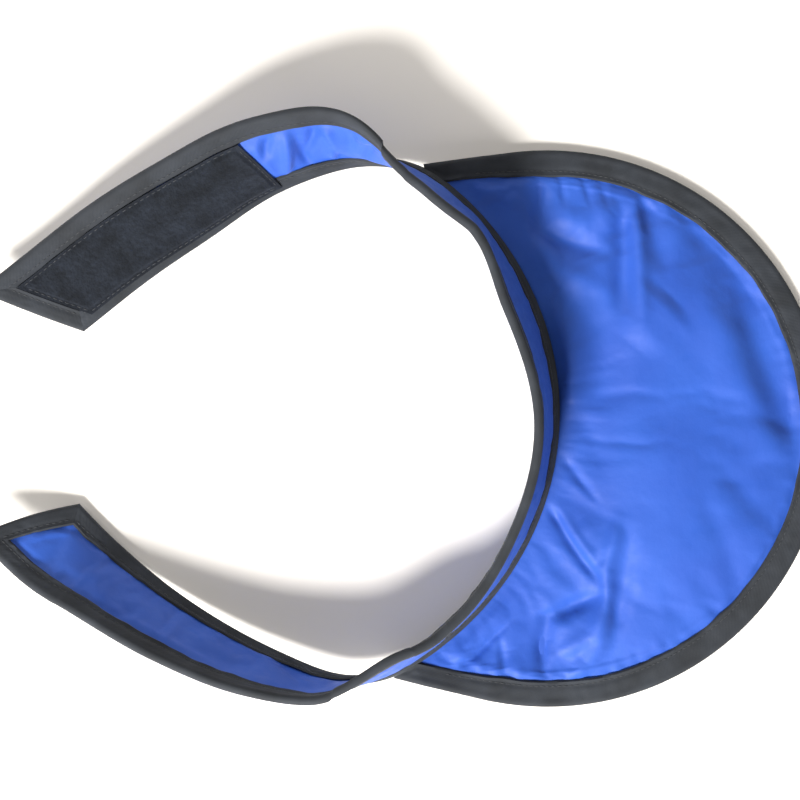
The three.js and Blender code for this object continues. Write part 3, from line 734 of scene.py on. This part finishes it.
# %% [markdown]
# ## The fastener patches
# Soft loop pile is sewn to the inside of one arm and stiff hooks to the outside of the other. Both are woven
# strips with a short pile, sewn down all round, so the pile stands up in the middle and dips at the stitching.

# %% Fastener patches
PATCH_THICK = 1.5
SELVEDGE, SELVEDGE_THICK = 2.4, 0.7


def patch_place(side, facing, seed):
    """A strip with one end along the tip's slant and the other nearly square."""
    def place(along, across, face):
        t = PATCH_LOW + across * PATCH_WIDTH
        start, end = patch_ends(side, t)
        past = start + (end - start) * along
        s = side * (SEAM_HALF + past)
        lap = smoothstep(band_rim(s, t), -0.5, 2.5)
        under = 2.15 + (1.75 - 2.15) * lap
        from_side = np.minimum(across, 1 - across) * PATCH_WIDTH
        edge = np.minimum(from_side, np.minimum(along, 1 - along) * PATCH_LENGTH[side])
        pile = SELVEDGE_THICK + (PATCH_THICK - SELVEDGE_THICK) * smoothstep(edge, SELVEDGE - 0.4, SELVEDGE + 0.6)
        loose = smoothstep(edge, SELVEDGE, SELVEDGE + 1)
        streaks = 0.12 * rumple(past * 4, t, 12, seed + 2)
        pile = pile + (0.16 * rumple(past, t, 1.3, seed) + 0.15 * rumple(past, t, 11, seed + 1) + streaks) * loose
        pile = pile + 0.12 * waver(past, 5, seed + 3) * (1 - loose)
        n = facing * (under + np.where(face > 0, 0, pile))
        return band_point(s, t, n), np.column_stack([past, t])

    return place


loop_patch = cloth("loop_pile", 180, 50, patch_place(1, 1, 51), 50)
hook_patch = cloth("hook_pile", 90, 50, patch_place(-1, -1, 53), 50)

# %% [markdown]
# ## Stitches
# Each seam is a row of short threads that sink into the tape between their holes. A thread is a small sphere
# drawn out along the seam: cheap, round to the light, and easy to lay along any of the formulas above.

# %% Rows of stitches
STITCH_PITCH, STITCH_LENGTH, THREAD = 2.6, 2.3, 0.38
ON_TAPE = TAPE_SWELL - 0.5
ROW_DEPTH = BAND_TAPE - STITCH_FROM_RIM


def stitch_row(bm, point, start, end):
    """Threads from start to end. point(spot, rise) gives places at a distance along and over the seam."""
    spots = np.arange(start + STITCH_PITCH, end - STITCH_PITCH / 2, STITCH_PITCH)
    centres = point(spots, 0.0)
    ways = unit(point(spots + 0.5, 0.0) - point(spots - 0.5, 0.0))
    ups = unit(point(spots, 0.5) - centres)
    for centre, way, up in zip(centres * MM + MIDDLE, ways, ups):
        turn = Matrix((way, np.cross(up, way), up)).transposed().to_4x4()
        size = Matrix.Diagonal((STITCH_LENGTH / 2 * MM, THREAD / 2 * MM, THREAD / 2 * MM, 1))
        matrix = Matrix.Translation(centre) @ turn @ size
        bmesh.ops.create_uvsphere(bm, u_segments=6, v_segments=4, radius=1, matrix=matrix)


def stitched(name, rows):
    """One piece from several rows of stitches."""
    bm = bmesh.new()
    for point, start, end in rows:
        stitch_row(bm, point, start, end)
    mesh = bpy.data.meshes.new(name)
    bm.to_mesh(mesh)
    bm.free()
    mesh.shade_smooth()
    piece = bpy.data.objects.new(name, mesh)
    bpy.context.scene.collection.objects.link(piece)
    print(name, "faces:", len(mesh.polygons))
    return piece


def on_band(t, face):
    """A row along the band at height t, on its inside (1) or outside (-1)."""
    return lambda s, rise: band_point(s, t, face * (ON_TAPE + rise))


def on_tip(side, face):
    def point(q, rise):
        t = q * math.cos(TIP_SLANT) + ROW_DEPTH * math.sin(TIP_SLANT)
        past = slanted_reach(side, 0) + q * math.sin(TIP_SLANT) - ROW_DEPTH * math.cos(TIP_SLANT)
        return band_point(side * (SEAM_HALF + past), t, face * (ON_TAPE + rise))

    return point


def on_hem(face):
    def point(length, rise):
        edge, out = hem_line(length / HEM_HALF)
        near_end = smoothstep(np.abs(length), HEM_HALF - 45, HEM_HALF)
        p = edge - out * (HEM_TAPE - 2.2 * near_end - STITCH_FROM_RIM)[:, None]
        return np.column_stack([p, HALF_TAPE + bib_lift(p) + face * (ON_TAPE + rise)])

    return point


def reach_at(side, t):
    """Distance along to the tip tape's stitches, at height t."""
    return SEAM_HALF + float(slanted_reach(side, t)) - ROW_DEPTH / math.cos(TIP_SLANT)


BAND_TOP = BAND_WIDTH - ROW_DEPTH
TIP_EDGE = BAND_WIDTH / math.cos(TIP_SLANT)
hem_threads = stitched("hem_stitches", [(on_hem(face), 10 - HEM_HALF, HEM_HALF - 10) for face in (1, -1)])
seam_threads = stitched("neck_seam_stitches", [
    (on_band(ROW_DEPTH, face), -reach_at(-1, ROW_DEPTH), reach_at(1, ROW_DEPTH)) for face in (1, -1)
])
top_threads = stitched("top_edge_stitches", [
    (on_band(BAND_TOP, face), -reach_at(-1, BAND_TOP), reach_at(1, BAND_TOP)) for face in (1, -1)
])
loop_tip_threads, hook_tip_threads = (
    stitched(name, [(on_tip(side, face), 4, TIP_EDGE - 12) for face in (1, -1)])
    for name, side in (("loop_tip_stitches", 1), ("hook_tip_stitches", -1))
)


def patch_rows(side, facing):
    """Stitches round a patch, a little in from each of its edges."""
    inset = SELVEDGE / 2
    over = 2.0 + SELVEDGE_THICK

    def line(start, end):
        """Row from start to end, both (distance past the horn, height)."""
        start, end = np.array(start), np.array(end)
        way = (end - start) / np.linalg.norm(end - start)

        def point(spot, rise):
            past, t = start[0] + way[0] * spot, start[1] + way[1] * spot
            lap = smoothstep(band_rim(side * (SEAM_HALF + past), t), -0.5, 2.5)
            return band_point(side * (SEAM_HALF + past), t, facing * (over + 0.15 - 0.4 * lap + rise))

        return point, 0, np.linalg.norm(end - start)

    def corner(t, at_tip):
        near, far = (float(end) for end in patch_ends(side, t))
        return near - inset / math.cos(TIP_SLANT) if at_tip else far + inset / math.cos(PATCH_END_SLANT), t

    low, high = PATCH_LOW + inset, PATCH_TOP - inset
    return [
        line(corner(low, False), corner(low, True)),
        line(corner(high, False), corner(high, True)),
        line(corner(low, True), corner(high, True)),
        line(corner(low, False), corner(high, False)),
    ]


loop_patch_threads = stitched("loop_pile_stitches", patch_rows(1, 1))
hook_patch_threads = stitched("hook_pile_stitches", patch_rows(-1, -1))

# %% [markdown]
# ## Materials
# A finish is a small tree of nodes. One helper adds a node with its settings and its links, and another turns a
# colour as a painter writes it into the linear values that light works in.

# %% Helpers for materials
def linear(code):
    """A hex colour, as seen on a screen, turned into linear values."""
    parts = [int(code[i : i + 2], 16) / 255 for i in (1, 3, 5)]
    return [c / 12.92 if c <= 0.04045 else ((c + 0.055) / 1.055) ** 2.4 for c in parts] + [1]


def node(tree, kind, settings=(), **links):
    """A node with its settings. A link is a value for a socket, or another node's output."""
    made = tree.nodes.new(kind)
    for key, value in dict(settings).items():
        setattr(made, key, value)
    for name, value in links.items():
        socket = made.inputs[int(name[1:])] if name[0] == "_" and name[1:].isdigit() else made.inputs[name.replace("_", " ")]
        if isinstance(value, bpy.types.NodeSocket):
            tree.links.new(value, socket)
        else:
            socket.default_value = value
    return made


def new_material(name):
    material = bpy.data.materials.new(name)
    material.use_nodes = True
    material.node_tree.nodes.clear()
    return material, material.node_tree


def finish_material(material, tree, **sockets):
    shader = node(tree, "ShaderNodeBsdfPrincipled", **sockets)
    node(tree, "ShaderNodeOutputMaterial", Surface=shader.outputs["BSDF"])
    print("material:", material.name)
    return material


def stripes(pitch):
    """Scale of a Wave texture whose bands are pitch millimetres apart."""
    return 2 * math.pi / 20 / (pitch * MM)


# %% [markdown]
# ### Coated nylon taffeta
# The shell is a fine plain weave with a soft sheen from its coating. The weave is finer than a pixel here and
# only breaks up the highlight, the crinkle of the thin cloth shows, and rubbed spots are a little lighter.

# %% Nylon shell
def nylon_shell():
    material, tree = new_material("coated_nylon_taffeta")
    cut = node(tree, "ShaderNodeUVMap", {"uv_map": "cut"}).outputs["UV"]
    warp = node(tree, "ShaderNodeTexWave", {"bands_direction": "X"}, Vector=cut, Scale=stripes(0.45), Distortion=0.6)
    weft = node(tree, "ShaderNodeTexWave", {"bands_direction": "Y"}, Vector=cut, Scale=stripes(0.45), Distortion=0.6)
    threads = node(tree, "ShaderNodeMath", {"operation": "ADD"}, _0=warp.outputs["Fac"], _1=weft.outputs["Fac"])
    crinkle = node(tree, "ShaderNodeTexNoise", Vector=cut, Scale=1 / (5 * MM), Detail=4.0, Roughness=0.55)
    patches = node(tree, "ShaderNodeTexNoise", Vector=cut, Scale=1 / (45 * MM), Detail=3.0)
    tone = node(tree, "ShaderNodeMapRange", Value=patches.outputs["Fac"], From_Min=0.3, From_Max=0.7)
    blue = node(
        tree, "ShaderNodeMix", {"data_type": "RGBA"},
        _0=tone.outputs["Result"], _6=linear("#1f46a0"), _7=linear("#244fab"),
    )
    rough = node(
        tree, "ShaderNodeMapRange",
        Value=crinkle.outputs["Fac"], From_Min=0.3, From_Max=0.7, To_Min=0.56, To_Max=0.7,
    )
    fine = node(tree, "ShaderNodeBump", Height=threads.outputs["Value"], Strength=0.25, Distance=0.03 * MM)
    bumps = node(
        tree, "ShaderNodeBump",
        Height=crinkle.outputs["Fac"], Strength=0.5, Distance=0.35 * MM, Normal=fine.outputs["Normal"],
    )
    return finish_material(
        material, tree,
        Base_Color=blue.outputs["Result"] if "Result" in blue.outputs else blue.outputs[2],
        Roughness=rough.outputs["Result"],
        Specular_IOR_Level=0.34,
        Normal=bumps.outputs["Normal"],
        Sheen_Weight=0.05,
        Sheen_Roughness=0.5,
        Sheen_Tint=linear("#9db8ff"),
    )


NYLON = nylon_shell()

# %% [markdown]
# ### Woven bias tape
# The tape is matt black polyester, cut on the bias, so its ribs run slantwise. It catches light on its raised
# threads, which keeps it a dark grey rather than black.

# %% Tape
def bias_tape():
    material, tree = new_material("black_polyester_bias_tape")
    cut = node(tree, "ShaderNodeUVMap", {"uv_map": "cut"}).outputs["UV"]
    slant = node(tree, "ShaderNodeTexWave", {"bands_direction": "DIAGONAL"}, Vector=cut, Scale=stripes(0.9), Distortion=0.8)
    cross = node(tree, "ShaderNodeTexNoise", Vector=cut, Scale=1 / (0.8 * MM), Detail=3.0)
    dust = node(tree, "ShaderNodeTexNoise", Vector=cut, Scale=1 / (14 * MM), Detail=5.0)
    shade = node(tree, "ShaderNodeMapRange", Value=dust.outputs["Fac"], From_Min=0.35, From_Max=0.7)
    colour = node(
        tree, "ShaderNodeMix", {"data_type": "RGBA"},
        _0=shade.outputs["Result"], _6=linear("#1c2026"), _7=linear("#282d35"),
    )
    ribs = node(tree, "ShaderNodeBump", Height=slant.outputs["Fac"], Strength=0.3, Distance=0.06 * MM)
    bumps = node(
        tree, "ShaderNodeBump",
        Height=cross.outputs["Fac"], Strength=0.5, Distance=0.12 * MM, Normal=ribs.outputs["Normal"],
    )
    return finish_material(
        material, tree,
        Base_Color=colour.outputs[2],
        Roughness=0.8,
        Specular_IOR_Level=0.3,
        Normal=bumps.outputs["Normal"],
        Sheen_Weight=0.08,
        Sheen_Roughness=0.5,
        Sheen_Tint=linear("#b9c4d8"),
    )


TAPE = bias_tape()

# %% [markdown]
# ### Fastener pile
# The pile is a felt of tiny loops: no highlight, a soft light rim where the loops stand against the light.

# %% Pile
def fastener_pile():
    material, tree = new_material("black_fastener_pile")
    cut = node(tree, "ShaderNodeUVMap", {"uv_map": "cut"}).outputs["UV"]
    loops = node(tree, "ShaderNodeTexVoronoi", Vector=cut, Scale=1 / (0.9 * MM), Randomness=1.0)
    fuzz = node(tree, "ShaderNodeTexNoise", Vector=cut, Scale=1 / (1.6 * MM), Detail=6.0, Roughness=0.7)
    lint = node(tree, "ShaderNodeTexNoise", Vector=cut, Scale=1 / (9 * MM), Detail=4.0)
    mixed = node(tree, "ShaderNodeMath", {"operation": "MULTIPLY"}, _0=fuzz.outputs["Fac"], _1=lint.outputs["Fac"])
    shade = node(tree, "ShaderNodeMapRange", Value=mixed.outputs["Value"], From_Min=0.15, From_Max=0.4)
    colour = node(
        tree, "ShaderNodeMix", {"data_type": "RGBA"},
        _0=shade.outputs["Result"], _6=linear("#0f1217"), _7=linear("#1d222b"),
    )
    curls = node(tree, "ShaderNodeBump", Height=loops.outputs["Distance"], Strength=0.6, Distance=0.3 * MM)
    bumps = node(
        tree, "ShaderNodeBump",
        Height=fuzz.outputs["Fac"], Strength=0.6, Distance=0.4 * MM, Normal=curls.outputs["Normal"],
    )
    return finish_material(
        material, tree,
        Base_Color=colour.outputs[2],
        Roughness=0.95,
        Specular_IOR_Level=0.15,
        Normal=bumps.outputs["Normal"],
        Sheen_Weight=0.12,
        Sheen_Roughness=0.6,
        Sheen_Tint=linear("#8f9ab5"),
    )


PILE = fastener_pile()

# %% [markdown]
# ### Thread
# The thread is spun polyester, a little lighter and shinier than the tape that it holds.

# %% Thread
def spun_thread():
    material, tree = new_material("grey_polyester_thread")
    place = node(tree, "ShaderNodeTexCoord").outputs["Object"]
    twist = node(tree, "ShaderNodeTexNoise", Vector=place, Scale=1 / (0.5 * MM), Detail=2.0)
    shade = node(
        tree, "ShaderNodeMix", {"data_type": "RGBA"},
        _0=twist.outputs["Fac"], _6=linear("#1a1d22"), _7=linear("#2c3139"),
    )
    bump = node(tree, "ShaderNodeBump", Height=twist.outputs["Fac"], Strength=0.4, Distance=0.08 * MM)
    return finish_material(
        material, tree, Base_Color=shade.outputs[2], Roughness=0.6, Normal=bump.outputs["Normal"],
    )


THREAD_FINISH = spun_thread()

# %% [markdown]
# ## The pieces
# Each piece rides on the collar's one body, stands in for its CAD node, which is hidden, and takes its finish
# from its row of the table.

# %% Pieces
PIECES = [
    (bib, "bib_panel", NYLON, "shell_fabric"),
    (band, "neckband_panel", NYLON, "shell_fabric"),
    (hem, "hem_binding", TAPE, "binding_tape"),
    (seam_tape, "neck_seam_binding", TAPE, "binding_tape"),
    (top_tape, "top_edge_binding", TAPE, "binding_tape"),
    (loop_tip, "loop_tip_binding", TAPE, "binding_tape"),
    (hook_tip, "hook_tip_binding", TAPE, "binding_tape"),
    (loop_patch, "loop_patch", PILE, "fastener_pile"),
    (hook_patch, "hook_patch", PILE, "fastener_pile"),
]
for piece, node_name, material, slot in PIECES:
    piece.data.materials.append(material)
    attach(piece, "root")
    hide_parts(node_name)

THREADS = [hem_threads, seam_threads, top_threads, loop_tip_threads, hook_tip_threads]
THREADS += [loop_patch_threads, hook_patch_threads]
for piece in THREADS:
    piece.data.materials.append(THREAD_FINISH)
    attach(piece, "root")

# %% [markdown]
# ## Stage, light and camera
# A plain white table, one large soft light from the side of the hook arm and a pale room. The camera looks
# straight down, as far off as the photographer stood.

# %% Floor and lights
bm = bmesh.new()
bmesh.ops.create_grid(bm, x_segments=1, y_segments=1, size=1.5)
floor_mesh = bpy.data.meshes.new("table")
bm.to_mesh(floor_mesh)
bm.free()
floor = bpy.data.objects.new("table", floor_mesh)
bpy.context.scene.collection.objects.link(floor)
floor_finish, floor_tree = new_material("white_table_top")
finish_material(floor_finish, floor_tree, Base_Color=linear("#efeeed"), Roughness=0.6)
floor_mesh.materials.append(floor_finish)

LAMP_DISTANCE = 1.4
LAMPS = [
    # name, bearing from +X and elevation in degrees, size in metres, watts, share of it that glints
    ("window_light", 155, 41, 0.4, 55, 1.0),
    ("pale_wall_left", 112, 22, 1.1, 6, 0.6),
    ("pale_wall_near", 215, 24, 1.1, 9, 0.15),
    ("pale_wall_right", 325, 26, 1.1, 5, 0.1),
    ("pale_wall_beyond", 45, 24, 1.1, 12, 0.1),
]
for name, bearing, elevation, size, watts, glint in LAMPS:
    lamp = bpy.data.lights.new(name, "AREA")
    lamp.shape = "DISK"
    lamp.size = size
    lamp.energy = watts
    lamp.specular_factor = glint
    lamp.color = linear("#fffaf2")[:3]
    flat_way = Vector((math.cos(math.radians(bearing)), math.sin(math.radians(bearing)), 0))
    rise = math.radians(elevation)
    lamp_object = bpy.data.objects.new(name, lamp)
    lamp_object.location = LAMP_DISTANCE * (flat_way * math.cos(rise) + Vector((0, 0, math.sin(rise))))
    lamp_object.rotation_euler = lamp_object.location.to_track_quat("Z", "Y").to_euler()
    bpy.context.scene.collection.objects.link(lamp_object)

world = bpy.data.worlds.new("pale_room")
world.use_nodes = True
world.node_tree.nodes["Background"].inputs["Color"].default_value = linear("#fff6ec")
world.node_tree.nodes["Background"].inputs["Strength"].default_value = 0.12
bpy.context.scene.world = world
bpy.context.scene.view_settings.view_transform = "Standard"

# %% Camera
camera_data = bpy.data.cameras.new("camera")
camera_data.sensor_width = 36
camera_data.lens = 66.43
camera_data.dof.use_dof = False
camera = bpy.data.objects.new("camera", camera_data)
camera.location = (0.00540, 0.00212, 0.620)
camera.rotation_euler = (0, 0, math.radians(-86.7))
bpy.context.scene.collection.objects.link(camera)
bpy.context.scene.camera = camera
print("camera over", tuple(round(v, 4) for v in camera.location))
